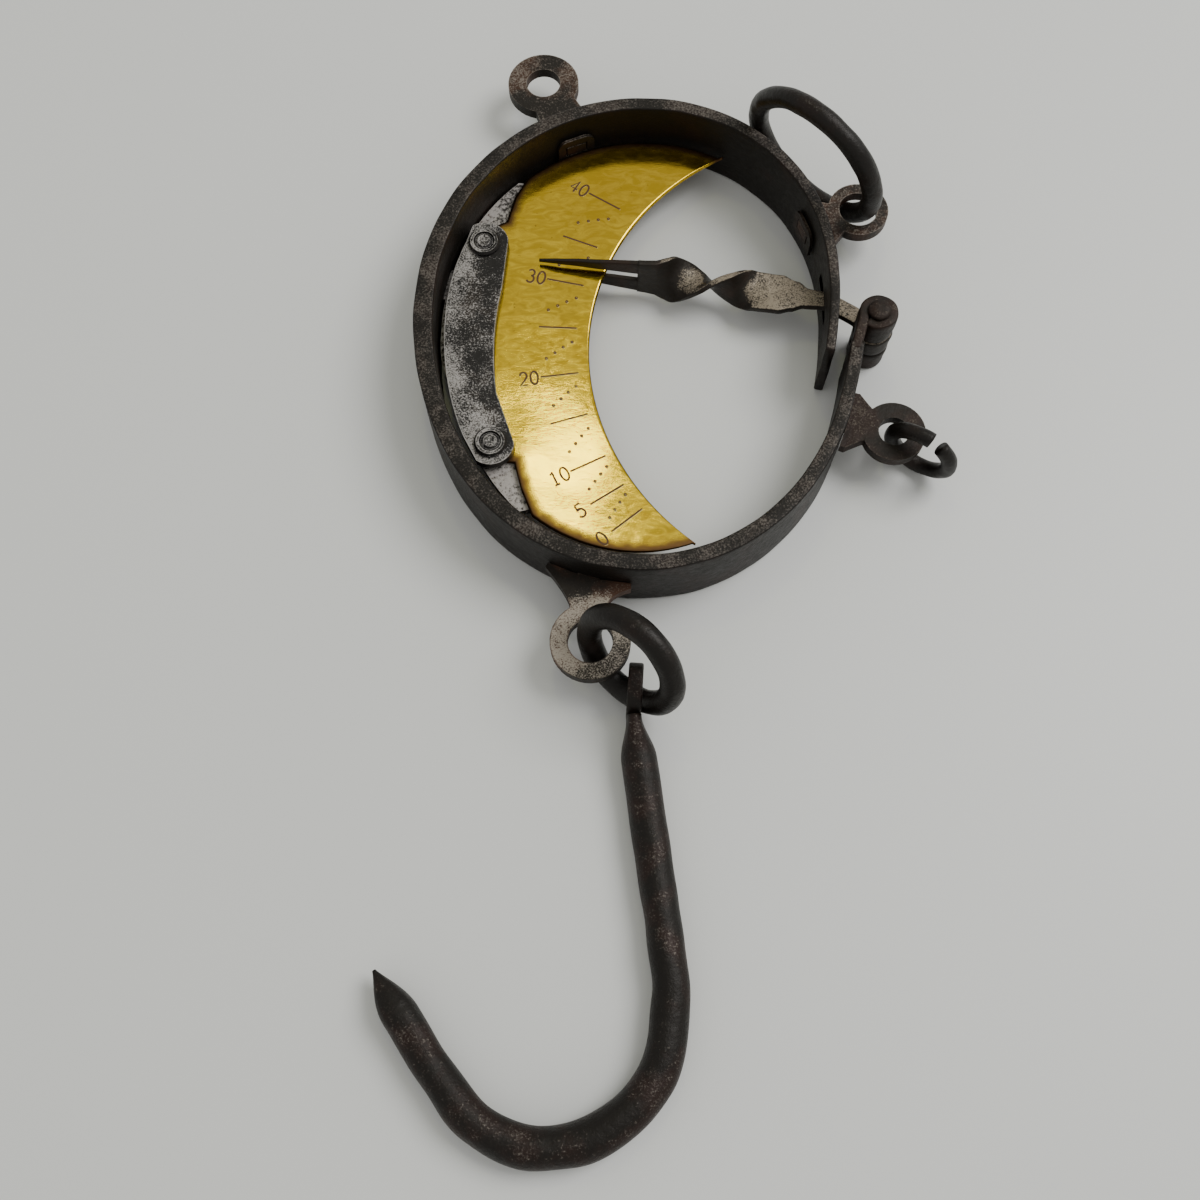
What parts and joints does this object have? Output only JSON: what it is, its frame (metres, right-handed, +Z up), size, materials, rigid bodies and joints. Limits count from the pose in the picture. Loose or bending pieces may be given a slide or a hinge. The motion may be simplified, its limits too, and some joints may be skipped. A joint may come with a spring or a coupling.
{
  "type": "hanging spring scale",
  "caption": "Hanging spring scale with a closed steel band as its spring, a curved brass dial, a twisted pointer, eyes with rings, and a load hook.",
  "frame": {"origin": "centre of the bounding box's bottom face, on the table under the scale as it lies on its side", "axes": "+X to the reader's right across the dial, +Y along the scale's length away from the hook, +Z up through the band's width"},
  "size_m": [0.1352, 0.2776, 0.0418],
  "materials": {
    "dark_iron": "dark oxidised wrought iron, worn",
    "worn_iron": "worn grey iron with brown patches",
    "rusty_iron": "brown rusted iron",
    "dial_brass": "brushed, tarnished at the edges"
  },
  "bodies": {
    "upper_arm": {"spring_upper_arm": "dark_iron", "top_left_lug": "worn_iron", "top_right_lug": "rusty_iron", "top_left_rove": "dark_iron", "top_right_rove": "dark_iron", "dial_bracket": "worn_iron", "dial_plate": "dial_brass", "dial_clamp": "worn_iron", "dial_rivet_upper": "dark_iron", "dial_rivet_lower": "dark_iron", "rivet_collar_upper": "worn_iron", "rivet_collar_lower": "worn_iron"},
    "lower_arm": {"spring_lower_arm": "dark_iron", "pivot_pin": "rusty_iron", "bottom_left_lug": "worn_iron", "lower_right_lug": "rusty_iron"},
    "pointer": {"pointer": "worn_iron"},
    "suspension_ring": {"suspension_ring": "dark_iron"},
    "load_ring": {"load_ring": "dark_iron"},
    "load_hook": {"load_hook": "dark_iron"},
    "small_link": {"small_link": "dark_iron"}
  },
  "joints": [
    {"name": "spring_flex", "type": "hinge", "parent": "upper_arm", "child": "lower_arm", "pos_m": [-0.05786, 0.03197, 0.01], "axis": [0, 0, 1], "range_deg": [-1.7, 5.2], "stiffness_Nm_per_rad": 250},
    {"name": "pointer_turn", "type": "hinge", "parent": "lower_arm", "child": "pointer", "pos_m": [0.0497, 0.0539, 0.01], "axis": [0, 0, 1], "range_deg": [-15.5, 47]},
    {"name": "suspension_ring_swing", "type": "hinge", "parent": "upper_arm", "child": "suspension_ring", "pos_m": [0.0484, 0.0891, 0.0102], "axis": [0, 0, 1], "range_deg": [-120, 0]},
    {"name": "load_ring_swing", "type": "hinge", "parent": "lower_arm", "child": "load_ring", "pos_m": [-0.0203, -0.027, 0.0102], "axis": [0, 0, 1], "range_deg": [-40, 20]},
    {"name": "load_hook_swing", "type": "hinge", "parent": "load_ring", "child": "load_hook", "pos_m": [-0.0101, -0.0376, 0.0067], "axis": [0.9976, -0.0698, 0], "range_deg": [-35, 0]},
    {"name": "small_link_swing", "type": "hinge", "parent": "lower_arm", "child": "small_link", "pos_m": [0.0529, 0.0258, 0.0102], "axis": [0, 0, 1], "range_deg": [-60, 60]}
  ],
  "couplings": [
    {"joint": "pointer_turn", "follows": "spring_flex", "ratio": 9}
  ]
}
